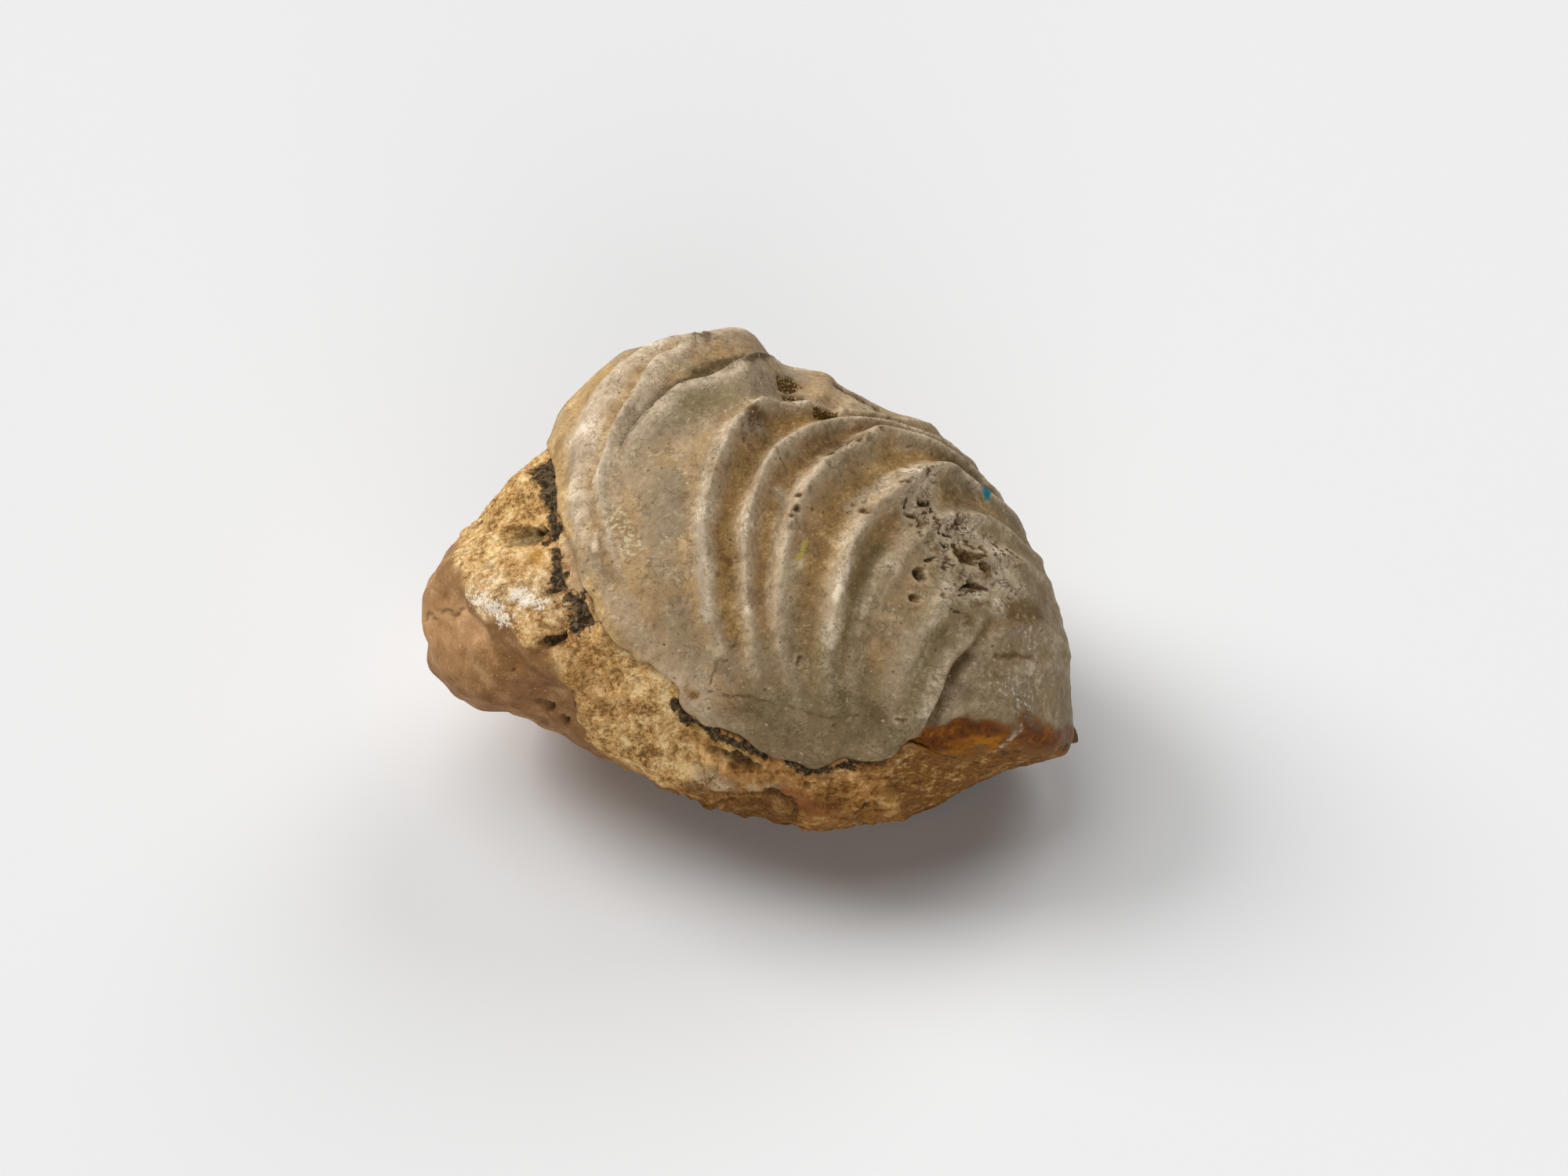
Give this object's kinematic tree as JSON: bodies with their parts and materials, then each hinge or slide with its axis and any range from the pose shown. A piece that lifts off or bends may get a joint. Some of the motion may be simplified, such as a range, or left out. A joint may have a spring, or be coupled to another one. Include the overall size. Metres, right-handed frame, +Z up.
{
  "type": "fossil oyster",
  "caption": "Thick ribbed fossil oyster valve lying on the lump of limestone it was found in, with a worn flat underside to rest on.",
  "frame": {"origin": "centre of the underside of the bounding box, on the level of the flat sole", "axes": "+X to the right along the longest side, towards the beak; +Y away from the side that the ribbed valve faces; +Z up as it rests on its sole"},
  "size_m": [0.1192, 0.0854, 0.0804],
  "materials": {
    "valve": "grey-beige fossil shell, worn smooth with a slight waxy sheen",
    "stone": "golden brown granular limestone, rough"
  },
  "bodies": {
    "root": {"valve": "valve", "stone": "stone"}
  },
  "joints": []
}
